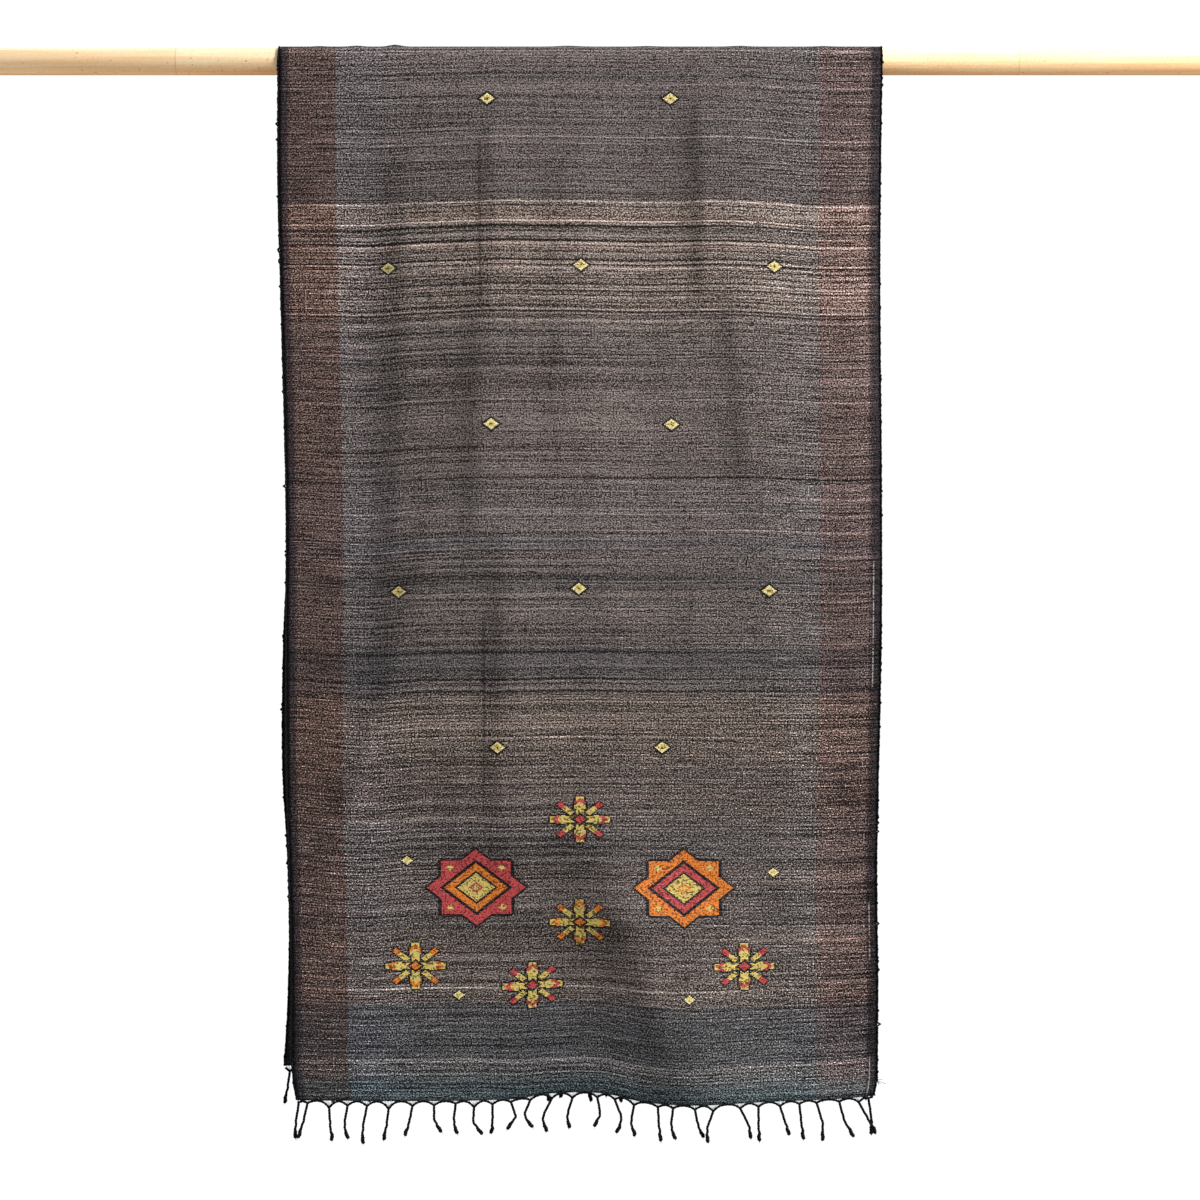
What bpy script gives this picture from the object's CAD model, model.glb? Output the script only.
import math

import bpy
import numpy as np
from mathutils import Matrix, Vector


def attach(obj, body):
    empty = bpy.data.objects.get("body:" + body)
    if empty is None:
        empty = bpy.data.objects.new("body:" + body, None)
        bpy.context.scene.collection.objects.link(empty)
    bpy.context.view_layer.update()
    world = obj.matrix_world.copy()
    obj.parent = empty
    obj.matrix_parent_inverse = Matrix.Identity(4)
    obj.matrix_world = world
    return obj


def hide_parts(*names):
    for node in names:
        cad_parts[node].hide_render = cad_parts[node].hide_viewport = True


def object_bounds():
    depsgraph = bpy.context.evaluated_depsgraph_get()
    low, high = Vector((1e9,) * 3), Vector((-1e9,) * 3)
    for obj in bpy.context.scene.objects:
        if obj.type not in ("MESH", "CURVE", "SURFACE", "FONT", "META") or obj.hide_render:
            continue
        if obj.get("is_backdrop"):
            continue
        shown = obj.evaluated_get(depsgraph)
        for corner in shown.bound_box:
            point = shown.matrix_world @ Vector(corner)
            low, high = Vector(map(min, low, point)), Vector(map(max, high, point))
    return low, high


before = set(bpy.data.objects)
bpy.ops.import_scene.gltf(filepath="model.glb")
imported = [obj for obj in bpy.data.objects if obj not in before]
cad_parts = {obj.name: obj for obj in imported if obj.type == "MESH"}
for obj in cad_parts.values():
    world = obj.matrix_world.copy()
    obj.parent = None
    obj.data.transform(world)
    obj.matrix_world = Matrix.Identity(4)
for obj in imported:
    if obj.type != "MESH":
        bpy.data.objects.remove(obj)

# Silk scarf doubled over a wooden rod. Tables are in millimetres, meshes in metres.
MM = 0.001
cad_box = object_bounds()


# ---------------------------------------------------------------- sizes of the scarf and the rod

ROD_RADIUS = 12.5
ROD_LENGTH = 1200.0
WALL = 1.2  # the solid cloth's wall
PARTING = 0.3
CROWN_FACETS = 8
CROWN_RADIUS = (ROD_RADIUS + PARTING) / math.cos(math.pi / CROWN_FACETS / 2) + WALL / 2
SHELL = 0.6  # the silk's own thickness

CLOTH_WIDTH = 559.0
FRONT_DROP = 962.0  # from the rod's axis down to the mean line of the front hem
BACK_DROP = 925.0
OVER_ROD = math.pi * CROWN_RADIUS
CLOTH_LENGTH = FRONT_DROP + OVER_ROD + BACK_DROP

BOW = 5.5  # how much lower the weft hangs at the selvages
BOW_PEAK = 0.25  # where down the fall the bow is greatest, as a share of the drop
BOW_POWER = 4  # how close to the selvages the bow keeps
HEM_POWER = 6  # how fast the hem's own line dies away up the fall
FOLD_FADE = 0.3  # share of a fold's length over which each of its ends dies away
RIPPLES_FROM = 5
RIPPLES_WHOLE = 120

# Selvages of each fall: drop, left, right
FRONT_EDGES = [
    (0, -279.5, 279.5),
    (112, -279.5, 277.5),
    (223, -276.5, 277),
    (408, -272, 278.5),
    (538, -272, 278.5),
    (667, -271, 276),
    (755, -268.5, 274.5),
    (852, -266.5, 275.5),
    (926, -266.5, 275),
    (948, -264.5, 274.5),
    (962, -262, 272),
]
BACK_EDGES = [
    (0, -279.5, 279.5),
    (223, -275, 274),
    (408, -272, 275),
    (540, -276.8, 274),
    (650, -277.6, 273),
    (735, -273, 270),
    (805, -271.3, 270),
    (870, -272.8, 269),
    (925, -276.2, 268),
]

# Hem lines: place across, sag below the mean line
FRONT_HEM = [
    (-270, 1),
    (-160, 2),
    (-60, 0.5),
    (-30, -4.5),
    (20, -5),
    (60, 3),
    (100, 5),
    (160, 3),
    (240, 0.5),
    (275, -3),
]
BACK_HEM = [(-275, 10.5), (-120, 7.5), (0, 4.5), (140, -0.5), (275, -4.5)]

# Folds: top x, top drop, bottom x, bottom drop, depth out of the fall, left reach, right reach
FRONT_FOLDS = [
    (-79, 20, -79, 300, 4.5, 8, 70),
    (-90, 170, -89, 510, 6.5, 12, 110),
    (-95, -20, -95, 580, 10, 50, 150),
    (-66, 400, -74, 800, 5.5, 10, 80),
    (-109, 610, -109, 760, 3, 9, 50),
    (-152, 5, -176, 700, 7.5, 13, 150),
    (-117, 400, -233, 760, 9, 15, 90),
    (-12, 20, -16, 420, 2, 9, 60),
    (112, 5, 119, 250, 6, 8, 85),
    (136, 170, 164, 440, 4.5, 10, 110),
    (-2, 620, 12, 860, 3, 18, 40),
    (12, 690, 156, 1110, 13, 25, 50),
    (-182, 700, -182, 1110, 4, 22, 40),
    (-240, 560, -248, 1080, 3.5, 26, 20),
    (214, 380, 226, 1060, -4.5, 50, 30),
]
BACK_FOLDS = [
    (-196, 40, -206, 620, 5, 24, 30),
    (-110, 200, -90, 1000, -4.5, 30, 24),
    (-20, 30, 10, 560, 6, 18, 46),
    (84, 300, 60, 1020, 5.5, 30, 22),
    (150, 60, 176, 700, -4.5, 26, 32),
    (228, 240, 214, 980, 5, 24, 28),
    (-160, 560, -176, 1060, 5.5, 26, 26),
]

# Weft dips, in mm below the middle of the same weft: x, dip at drop 100, at drop 350, at drop 680
WEFT_DIPS = [
    (-258, 2.4, 3.1, 0.8),
    (-228, 2.1, 4.7, 3.4),
    (-192, 2.4, 5.3, 4.5),
    (-155, 1.4, 2.3, 1.9),
    (-110, 0.2, 0.6, 0.9),
    (-72, -0.9, 0.1, 1.2),
    (-10, -0.3, 0.0, -0.1),
    (60, 0.3, 0.5, 0.6),
    (127, -0.7, -0.6, 1.1),
    (165, 0.8, -0.3, 1.3),
    (214, 4.0, 2.0, 1.6),
    (245, 4.4, 2.9, 1.1),
    (275, 4.0, 1.2, -0.4),
]
UPPER_DIP_AT = 100.0
MIDDLE_DIP_AT = 350.0
LOWER_DIP_AT = 680.0
HEM_DIP_FROM = 780.0
LEFT_HEM_DIP = 0.25  # share of the hem's dip that the wefts left of the middle take up
LEFT_HEM_FADE = (-100.0, 0.0)

# Slack of the cloth over the rod: x, height, half width
CROWN_PUCKERS = [
    (-242, 0.5, 6),
    (-208, 0.9, 7),
    (-172, 1.9, 7),
    (-11, 0.8, 12),
    (62, 0.5, 10),
    (148, 0.7, 10),
    (226, 0.5, 8),
]

# Front strands: root, bend and tip across, hang of the tip, how far behind the hem the tip is,
# and how far below the hem the strand's warp ends are gathered
FRONT_STRANDS = [
    (-260, -263, -263.5, 37, 1, 2.0),
    (-252, -256, -261, 36, -1, 2.5),
    (-232, -231, -229, 39, 1, 6.5),
    (-215, -218, -215, 37, -1, 4.5),
    (-197, -201, -201, 42, 2, 4.5),
    (-177, -179, -182, 38, 0, 7.0),
    (-155, -158, -162, 34, -2, 4.5),
    (-135, -135, -128, 31, 1, 4.0),
    (-115, -117, -114, 33, 2, 2.5),
    (-98, -99, -90, 33, -1, 6.0),
    (-81, -81, -82, 33, 2, 4.0),
    (-64, -59, -68, 28, -2, 2.5),
    (-46, -52, -44, 27, 1, 3.0),
    (-26, -35, -31, 31, -1, 4.5),
    (-7, -12, -10, 28, 1, 5.0),
    (16, 19, 13, 26, -2, 4.0),
    (32, 39, 34, 32, 0, 3.5),
    (50, 47, 51, 35, 2, 4.5),
    (72, 73, 75, 39, -1, 3.0),
    (86, 84, 88, 37, 1, 3.0),
    (106, 109, 114, 35, 2, 3.5),
    (123, 117, 118, 39, -2, 5.5),
    (148, 156, 158, 36, 1, 4.5),
    (165, 165, 166, 39, -1, 4.0),
    (185, 190, 194, 34, 2, 4.5),
    (203, 205, 207, 38, 0, 3.0),
    (219, 225, 224, 39, -2, 2.5),
    (240, 245, 254, 36, 1, 2.5),
    (258, 267, 274, 32, -4, 4.5),
    (267, 270, 270, 34, 3, 2.0),
]
BACK_COUNT = 30
BACK_INSET = 5  # from a selvage to the first strand

# Sways of the back strands along their row: mean, reach, turn from one strand to the next, start
BEND_SWAY = (0, 3, 1.9, 4)
TIP_SWAY = (0, 4, 2.7, 4)
HANG_SWAY = (42, 3.5, 3.3, 1.5)
BEHIND_SWAY = (0, 2, 2.2, 0)
NECK_SWAY = (4.2, 1.3, 2.9, 1)


def back_strands():
    """Back strands at an even pitch, each swaying a little against the next by a sine."""
    index = np.arange(BACK_COUNT)

    def sway(mean, reach, turn, start):
        return mean + reach * np.sin(turn * index + start)

    left = BACK_EDGES[-1][1] + BACK_INSET
    right = BACK_EDGES[-1][2] - BACK_INSET
    root = left + (right - left) * index / (BACK_COUNT - 1)
    bend = root + sway(*BEND_SWAY)
    tip = bend + sway(*TIP_SWAY)
    columns = [root, bend, tip, sway(*HANG_SWAY), sway(*BEHIND_SWAY), sway(*NECK_SWAY)]
    return np.stack(columns, axis=1)


# ---------------------------------------------------------------- the form of the cloth


def smooth_table(table, column, at):
    """Smooth curve through a table's rows (cubic with the rows' own mean slopes), held at its ends."""
    rows = np.array(table, float)
    key, value = rows[:, 0], rows[:, column]
    at = np.clip(at, key[0], key[-1])
    row = np.clip(np.searchsorted(key, at, side="right") - 1, 0, len(key) - 2)
    slope = np.gradient(value, key)
    slope[1:-1] = (value[2:] - value[:-2]) / (key[2:] - key[:-2])
    span = key[row + 1] - key[row]
    t = (at - key[row]) / span
    blend = t * t * (3 - 2 * t)
    bulge = t * (1 - t) ** 2 * slope[row] - t * t * (1 - t) * slope[row + 1]
    return value[row] * (1 - blend) + value[row + 1] * blend + span * bulge


def smoothstep(value, low, high):
    """0 below low, 1 above high, an S-curve between."""
    t = np.clip((value - low) / (high - low), 0, 1)
    return t * t * (3 - 2 * t)


def fold_depth(folds, x, drop):
    """How far a fall stands out of its plumb plane: the sum of its folds, each a sech-shaped ridge."""
    depth = np.zeros(np.broadcast(x, drop).shape)
    for top_x, top, bottom_x, bottom, height, left, right in folds:
        along = np.clip((drop - top) / (bottom - top), 0, 1)
        crest = top_x + (bottom_x - top_x) * along
        reach = np.where(x < crest, left, right)
        ends = smoothstep(along, 0, FOLD_FADE) * (1 - smoothstep(along, 1 - FOLD_FADE, 1))
        depth = depth + height * ends / np.cosh((x - crest) / reach)
    return depth


def ripples(x, drop):
    """Small waves of limp silk: three crossing sines along the fall and two short puckers."""
    wave = 0.55 * np.sin(x / 21 + 1.3 * np.sin(drop / 150) + 0.4)
    wave += 0.35 * np.sin(x / 13 - drop / 230 + 2.1)
    wave += 0.30 * np.sin(drop / 34 + 1.7 * np.sin(x / 90))
    wave += 0.12 * np.sin(drop / 9.5 + 2.2 * np.sin(x / 37))
    wave += 0.10 * np.sin(x / 5.5 + 1.5 * np.sin(drop / 61))
    return wave * smoothstep(drop, RIPPLES_FROM, RIPPLES_WHOLE)


FRONT = {"side": -1, "drop": FRONT_DROP, "edges": FRONT_EDGES, "hem": FRONT_HEM, "folds": FRONT_FOLDS}
BACK = {"side": 1, "drop": BACK_DROP, "edges": BACK_EDGES, "hem": BACK_HEM, "folds": BACK_FOLDS}


def fall_point(fall, across, down, below=0.0):
    """Point of a fall in mm: across is 0 to 1 from the left selvage, down is 0 at the rod to 1 at the
    mean hem line, below is added under that line. x runs between the selvages, y is the plumb plane
    and the folds, z is the drop with the weft's bow and the hem's sag."""
    left = smooth_table(fall["edges"], 1, down * fall["drop"])
    right = smooth_table(fall["edges"], 2, down * fall["drop"])
    x = left + (right - left) * across
    bowed = BOW * smoothstep(down, 0, BOW_PEAK) * (1 - down) * (2 * across - 1) ** BOW_POWER
    sag = smooth_table(fall["hem"], 1, x) * np.maximum(down, 0) ** HEM_POWER
    drop = down * fall["drop"]
    out = CROWN_RADIUS + fold_depth(fall["folds"], x, drop) + ripples(x, drop)
    return np.stack([x, fall["side"] * out, -(drop + bowed + sag + below)], axis=-1)


def weft_dip(fall, x, drop):
    """How far a weft has sunk below its own middle: the dips' three columns in turn, then the hem."""
    upper, middle, lower = (smooth_table(WEFT_DIPS, column, x) for column in (1, 2, 3))
    hem = smooth_table(fall["hem"], 1, x) - min(row[1] for row in fall["hem"])
    hem = hem * (LEFT_HEM_DIP + (1 - LEFT_HEM_DIP) * smoothstep(x, *LEFT_HEM_FADE))
    dip = upper + (middle - upper) * smoothstep(drop, UPPER_DIP_AT, MIDDLE_DIP_AT)
    dip = dip + (lower - dip) * smoothstep(drop, MIDDLE_DIP_AT, LOWER_DIP_AT)
    return dip + (hem - dip) * smoothstep(drop, HEM_DIP_FROM, fall["drop"])


def crown_slack(x):
    """Small humps where the cloth doesn't touch the rod: a sum of bell shapes."""
    return sum(height * np.exp(-(((x - place) / half) ** 2)) for place, height, half in CROWN_PUCKERS)


def cloth_point(across, along):
    """Point of the cloth in mm: along is -1 at the front hem, 0 to 1 over the rod, 2 at the back hem."""
    angle = math.pi * np.clip(along, 0, 1)
    x = FRONT_EDGES[0][1] + (FRONT_EDGES[0][2] - FRONT_EDGES[0][1]) * across
    radius = CROWN_RADIUS + crown_slack(x) * np.sin(angle) ** 2
    over = np.stack([x, -radius * np.cos(angle), radius * np.sin(angle)], axis=-1)
    front = fall_point(FRONT, across, np.clip(-along, 0, 1))
    back = fall_point(BACK, across, np.clip(along - 1, 0, 1))
    side = along[..., None]
    return np.where(side < 0, front, np.where(side > 1, back, over))


# ---------------------------------------------------------------- meshes


def make_mesh(name, points, faces, materials, smooth=True, face_slots=None):
    """A mesh object at the origin from points in mm and a list of face index arrays."""
    mesh = bpy.data.meshes.new(name)
    polygons = [face for block in faces for face in block.tolist()]
    mesh.from_pydata((points * MM).tolist(), [], polygons)
    mesh.update()
    piece = bpy.data.objects.new(name, mesh)
    bpy.context.scene.collection.objects.link(piece)
    for material in materials:
        mesh.materials.append(material)
    if face_slots is not None:
        mesh.polygons.foreach_set("material_index", face_slots.astype(np.int32))
    mesh.polygons.foreach_set("use_smooth", np.full(len(mesh.polygons), smooth))
    return piece


def grid_faces(rows, columns):
    """Quads of a grid of points counted row by row."""
    corner = np.arange(rows - 1)[:, None] * columns + np.arange(columns - 1)[None, :]
    corner = corner.ravel()
    return np.stack([corner, corner + 1, corner + columns + 1, corner + columns], axis=1)


def ring_quads(rings, sides):
    """Quads between rings of points, each ring closed on itself."""
    ring = np.arange(rings - 1)[:, None] * sides
    side = np.arange(sides)[None, :]
    after = (side + 1) % sides
    quads = np.stack([ring + side, ring + after, ring + sides + after, ring + sides + side], axis=-1)
    return quads.reshape(-1, 4)


def turned_over(quads):
    """The same quads with their other side out, each from the same corner."""
    return quads[:, [0, 3, 2, 1]]


def tubes(paths, radii, sides, groove=0.0, twist=0.0):
    """Tubes around many paths at once. Each ring is a circle across the path; its radius dips by the
    share groove between two plies that turn by twist radians a millimetre. Ends are closed to a point.
    paths is (cords, rings, 3), radii is (cords, rings). Returns points and faces."""
    cords, rings, _ = paths.shape
    heading = np.gradient(paths, axis=1)
    heading /= np.linalg.norm(heading, axis=2, keepdims=True)
    sideways = np.cross(np.array([0.0, 1.0, 0.0]), heading)
    sideways /= np.linalg.norm(sideways, axis=2, keepdims=True)
    forwards = np.cross(heading, sideways)
    steps = np.linalg.norm(np.diff(paths, axis=1), axis=2)
    length = np.concatenate([np.zeros((cords, 1)), np.cumsum(steps, axis=1)], axis=1)
    angle = 2 * math.pi * np.arange(sides) / sides
    ply = np.abs(np.cos(angle[None, None, :] - twist * length[:, :, None]))
    radius = radii[:, :, None] * (1 - groove * (1 - ply))
    around = np.cos(angle)[:, None] * sideways[:, :, None, :]
    around = around + np.sin(angle)[:, None] * forwards[:, :, None, :]
    skin = paths[:, :, None, :] + radius[..., None] * around
    points = np.concatenate([skin.reshape(cords, -1, 3), paths[:, :1], paths[:, -1:]], axis=1)
    side = np.arange(sides)
    after = (side + 1) % sides
    last = (rings - 1) * sides
    first_cap = np.stack([side, np.full(sides, rings * sides), after], axis=1)
    last_cap = np.stack([last + side, last + after, np.full(sides, rings * sides + 1)], axis=1)
    starts = points.shape[1] * np.arange(cords)[:, None, None]
    blocks = (ring_quads(rings, sides), first_cap, last_cap)
    faces = [(block[None] + starts).reshape(-1, block.shape[1]) for block in blocks]
    return points.reshape(-1, 3), faces


def turned_profile(radius, length, sides):
    """A profile of radii and lengths turned about its axis: two places across the axis, one along it."""
    angle = 2 * math.pi * np.arange(sides) / sides
    across = np.outer(radius, np.cos(angle)).ravel()
    return across, np.outer(radius, np.sin(angle)).ravel(), np.repeat(length, sides)


def joined(parts):
    """One set of points and faces from several."""
    points, faces, count = [], [], 0
    for part_points, part_faces in parts:
        points.append(part_points)
        faces.extend(block + count for block in part_faces)
        count += len(part_points)
    return np.concatenate(points), faces


# ---------------------------------------------------------------- shader arithmetic


def operator(operation, swapped=False):
    """An operator of Value: a Math node of both sides, swapped where Value stands on the right."""

    def apply(self, other):
        pair = (other, self) if swapped else (self, other)
        return self.shader.math(operation, *pair)

    return apply


class Value:
    """A shader socket on which Python's operators add Math nodes."""

    def __init__(self, shader, output):
        self.shader = shader
        self.output = output

    def __abs__(self):
        return self.shader.math("ABSOLUTE", self)

    __add__ = operator("ADD")
    __radd__ = operator("ADD")
    __sub__ = operator("SUBTRACT")
    __rsub__ = operator("SUBTRACT", swapped=True)
    __mul__ = operator("MULTIPLY")
    __truediv__ = operator("DIVIDE")
    __gt__ = operator("GREATER_THAN")


def total(values):
    """The sum of shader values."""
    first, *rest = values
    return sum(rest, first)


class Shader:
    """A material and the nodes that finish it."""

    def __init__(self, name):
        self.material = bpy.data.materials.new(name)
        self.material.use_nodes = True
        self.tree = self.material.node_tree
        self.surface = self.tree.nodes["Principled BSDF"]

    def node(self, kind, settings=None, inputs=None, out=0):
        """Adds a node, sets its settings or a ramp's stops first, feeds its sockets, gives one output."""
        made = self.tree.nodes.new("ShaderNode" + kind)
        for key, value in (settings or {}).items():
            if key == "stops":
                self.set_stops(made.color_ramp, value)
            else:
                setattr(made, key, value)
        for key, value in (inputs or {}).items():
            self.feed(made.inputs[key], value)
        return Value(self, made.outputs[out])

    def set_stops(self, ramp, stops):
        """Gives a ramp its rows of place and colour."""
        while len(ramp.elements) < len(stops):
            ramp.elements.new(1.0)
        for element, (position, colour) in zip(ramp.elements, stops):
            element.position = position
            element.color = (*colour, 1.0)

    def feed(self, socket, value):
        """Links a shader value to a socket, or sets a constant on it."""
        if isinstance(value, Value):
            self.tree.links.new(value.output, socket)
        else:
            socket.default_value = value

    def math(self, operation, *values):
        return self.node("Math", {"operation": operation}, dict(enumerate(values)))

    def mix(self, first, second, share, blend="MIX"):
        """Mixes two colours by a share."""
        settings = {"data_type": "RGBA", "blend_type": blend}
        return self.node("Mix", settings, {0: share, 6: first, 7: second}, out=2)

    def scaled(self, colour, factor):
        """A colour times a number."""
        return self.node("VectorMath", {"operation": "SCALE"}, {0: colour, "Scale": factor})

    def noise(self, vector, scale=1.0, detail=2.0, roughness=0.5):
        inputs = {"Vector": vector, "Scale": scale, "Detail": detail, "Roughness": roughness}
        return self.node("TexNoise", None, inputs)

    def vector(self, x, y, z):
        return self.node("CombineXYZ", None, {"X": x, "Y": y, "Z": z})

    def stretched(self, place, scales, detail=1.0, roughness=0.5):
        """Noise at a place in metres, with a scale of its own along each axis."""
        at = self.vector(*(part * scale for part, scale in zip(place, scales)))
        return self.noise(at, detail=detail, roughness=roughness)

    def within(self, value, low, high):
        """0 to 1 as value goes from low to high, smoothly."""
        inputs = {"Value": value, "From Min": low, "From Max": high}
        return self.node("MapRange", {"interpolation_type": "SMOOTHSTEP"}, inputs)

    def stretch(self, value, low, high, fade):
        """1 between low and high, fading to 0 at both, just inside them."""
        return self.within(value, low, low + fade) * self.within(value, high, high - fade)

    def parts(self, vector):
        """The three parts of a vector."""
        split = self.node("SeparateXYZ", None, {0: vector}).output.node
        return [Value(self, split.outputs[i]) for i in range(3)]

    def finish(self, colour, roughness, bump=None, bump_depth=0.0, **constants):
        """Feeds the surface: colour, roughness and relief; constants go straight onto its sockets."""
        self.feed(self.surface.inputs["Base Color"], colour)
        self.feed(self.surface.inputs["Roughness"], roughness)
        if bump is not None:
            inputs = {"Height": bump, "Distance": bump_depth, "Strength": 1.0}
            self.feed(self.surface.inputs["Normal"], self.node("Bump", None, inputs))
        for key, value in constants.items():
            self.surface.inputs[key.replace("_", " ")].default_value = value
        return self.material


def dye(hex_code):
    """A dye's linear colour from its usual hexadecimal code."""
    parts = [int(hex_code[i : i + 2], 16) / 255 for i in (0, 2, 4)]
    return tuple(p / 12.92 if p <= 0.04045 else ((p + 0.055) / 1.055) ** 2.4 for p in parts)


def rgba(colour):
    """A dye as a socket's opaque colour."""
    return (*colour, 1.0)


# ---------------------------------------------------------------- finishes

BLACK_SELVAGE = dye("141317")
PLUM = dye("362a2d")
MAROON = dye("5c4a45")
FADED_MAROON = dye("6a5854")
BLUE_GREY = dye("686060")
BROWN_GREY = dye("665d5a")
PALE_GREY = dye("675f5d")

# Warp stripes: place across in mm from the left selvage, yarn
WARP_STRIPES = [
    (0.0, BLACK_SELVAGE),
    (3.0, BLACK_SELVAGE),
    (3.8, PLUM),
    (8.0, PLUM),
    (10.0, MAROON),
    (53.5, MAROON),
    (54.5, BLUE_GREY),
    (80.0, BLUE_GREY),
    (115.0, BROWN_GREY),
    (470.0, BROWN_GREY),
    (484.0, PALE_GREY),
    (501.5, PALE_GREY),
    (502.5, FADED_MAROON),
    (547.0, FADED_MAROON),
    (551.0, PLUM),
    (554.6, PLUM),
    (555.6, BLACK_SELVAGE),
    (CLOTH_WIDTH, BLACK_SELVAGE),
]

# Weft bands: drop in mm, tone as red, green and blue shares of the plain cloth
UPPER_WEFT = [
    (-25, 0.95, 0.95, 0.96),
    (10, 0.95, 0.94, 0.95),
    (45, 0.90, 0.89, 0.91),
    (75, 0.87, 0.86, 0.88),
    (120, 0.86, 0.85, 0.86),
    (130, 0.84, 0.83, 0.84),
    (132, 1.72, 1.63, 1.50),
    (151, 1.82, 1.70, 1.54),
    (156, 1.38, 1.34, 1.26),
    (167, 1.30, 1.27, 1.21),
    (170, 1.72, 1.59, 1.45),
    (184, 1.44, 1.39, 1.31),
    (190, 1.74, 1.66, 1.55),
    (230, 1.62, 1.52, 1.40),
    (238, 1.10, 1.07, 1.04),
    (244, 1.22, 1.19, 1.14),
    (262, 1.08, 1.06, 1.04),
    (370, 1.01, 0.99, 0.97),
    (386, 0.90, 0.88, 0.88),
    (390, 1.09, 1.10, 1.12),
    (441, 1.05, 1.04, 1.05),
    (445, 0.88, 0.92, 1.00),
    (456, 0.90, 0.94, 1.00),
    (459, 1.07, 1.06, 1.07),
    (472, 0.98, 0.96, 0.96),
    (477, 0.75, 0.78, 0.80),
    (490, 0.77, 0.79, 0.80),
    (494, 1.04, 1.03, 1.01),
    (543, 0.94, 0.94, 0.94),
    (547, 0.72, 0.76, 0.80),
    (560, 0.72, 0.76, 0.80),
]
LOWER_WEFT = [
    (560, 0.73, 0.77, 0.80),
    (575, 0.92, 0.93, 0.94),
    (585, 0.84, 0.85, 0.86),
    (589, 1.15, 1.08, 0.98),
    (640, 1.14, 1.06, 0.96),
    (657, 0.96, 0.91, 0.86),
    (672, 0.94, 0.89, 0.85),
    (698, 1.06, 1.01, 0.95),
    (705, 0.92, 0.93, 0.94),
    (735, 0.90, 0.90, 0.89),
    (760, 1.02, 0.99, 0.95),
    (782, 0.90, 0.90, 0.90),
    (806, 0.95, 0.94, 0.91),
    (812, 1.12, 1.06, 0.98),
    (830, 0.98, 0.97, 0.95),
    (855, 1.05, 1.02, 0.97),
    (862, 1.18, 1.12, 1.03),
    (870, 1.03, 1.01, 0.98),
    (874, 0.69, 0.78, 0.85),
    (898, 0.63, 0.75, 0.84),
    (921, 0.65, 0.76, 0.85),
    (925, 1.00, 1.16, 1.22),
    (936, 1.00, 1.15, 1.22),
    (943, 0.58, 0.84, 0.96),
    (955, 0.58, 0.92, 1.06),
    (963, 0.72, 1.08, 1.22),
]
WEFT_SPLIT = 560.0

# Lines pressed in by folding: place across, top drop, bottom drop in mm, strength in tone
PRESS_LINES = [
    (187.2, 62.0, 240.0, 0.85),
    (186.4, 500.0, 700.0, 0.85),
]
PRESS_FADE = 30.0
PRESS_EDGE = 1.8
PRESS_CORE = 0.7

# Single weft shots that stand out: drop in mm, half width in mm, tone added
WEFT_LINES = [
    (-21.5, 9.0, -0.55),
    (-9, 1.0, 0.25),
    (24.5, 1.1, 0.22),
    (56, 0.9, 0.15),
    (73, 1.3, 0.35),
    (130.6, 1.0, -0.30),
    (133.4, 1.5, 0.30),
    (137.5, 1.0, -0.20),
    (142, 0.8, -0.10),
    (146.8, 1.2, -0.14),
    (150, 0.9, -0.22),
    (151.5, 1.1, 0.22),
    (156, 1.3, -0.50),
    (160.2, 1.0, -0.30),
    (164, 1.5, 0.06),
    (169.6, 1.8, -0.34),
    (171.6, 2.2, 0.24),
    (174.2, 0.9, -0.20),
    (179.2, 0.9, -0.16),
    (187.4, 1.8, -0.34),
    (189, 1.3, 0.14),
    (191.7, 1.2, -0.45),
    (194.6, 1.4, 0.16),
    (197.2, 0.8, -0.16),
    (200, 0.9, -0.14),
    (204.2, 1.2, -0.30),
    (209.3, 0.9, -0.30),
    (211.6, 1.5, 0.14),
    (215.8, 1.2, -0.30),
    (219.5, 0.9, -0.26),
    (221.3, 1.0, 0.16),
    (225.5, 2.0, -0.16),
    (230.6, 0.9, -0.26),
    (232.9, 1.1, 0.34),
    (234.8, 1.6, -0.26),
    (238, 2.2, -0.14),
    (243.5, 1.2, 0.14),
    (254, 1.0, -0.25),
    (316, 1.4, 0.12),
    (387.5, 1.3, -0.40),
    (409, 1.0, 0.16),
    (421, 1.0, 0.14),
    (436, 1.2, 0.18),
    (548, 1.2, -0.25),
    (573, 1.3, -0.30),
    (584, 1.4, -0.30),
    (858, 1.5, 0.30),
    (874, 1.3, -0.20),
    (924, 1.0, 0.25),
]
LINE_TONE = 8.0

# Dark slub patches: x from the left selvage, drop, half length, half height, darkening
SLUB_PATCHES = [
    (40, 452, 46, 5, 0.8),
    (44, 497, 40, 5, 0.7),
    (36, 555, 44, 7, 0.7),
    (40, 790, 44, 7, 0.9),
    (30, 905, 36, 22, 0.5),
    (534, 880, 9, 8, 0.6),
    (548, 894, 7, 2.5, 0.9),
    (300, 850, 60, 3, 0.4),
]
PATCH_REACH = (1.1, 0.35)

# Places where a warp end is missing beside the right selvage and light comes through: drops
OPEN_REED = [(459, 585), (778, 836), (918, 960)]
OPEN_REED_AT = 551.8
OPEN_REED_EDGE = 0.8
OPEN_REED_CORE = 0.2
OPEN_REED_FADE = 8.0
SLIT_LIGHT = dye("a39b96")

# Right of the middle, light comes through the front hem where the back fall has ended
UNDER_BACK_HEM = 919.0
THROUGH_LIGHT = 0.55
THROUGH_FADE = 4.0
THROUGH_ACROSS = (470.0, 530.0)

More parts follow.
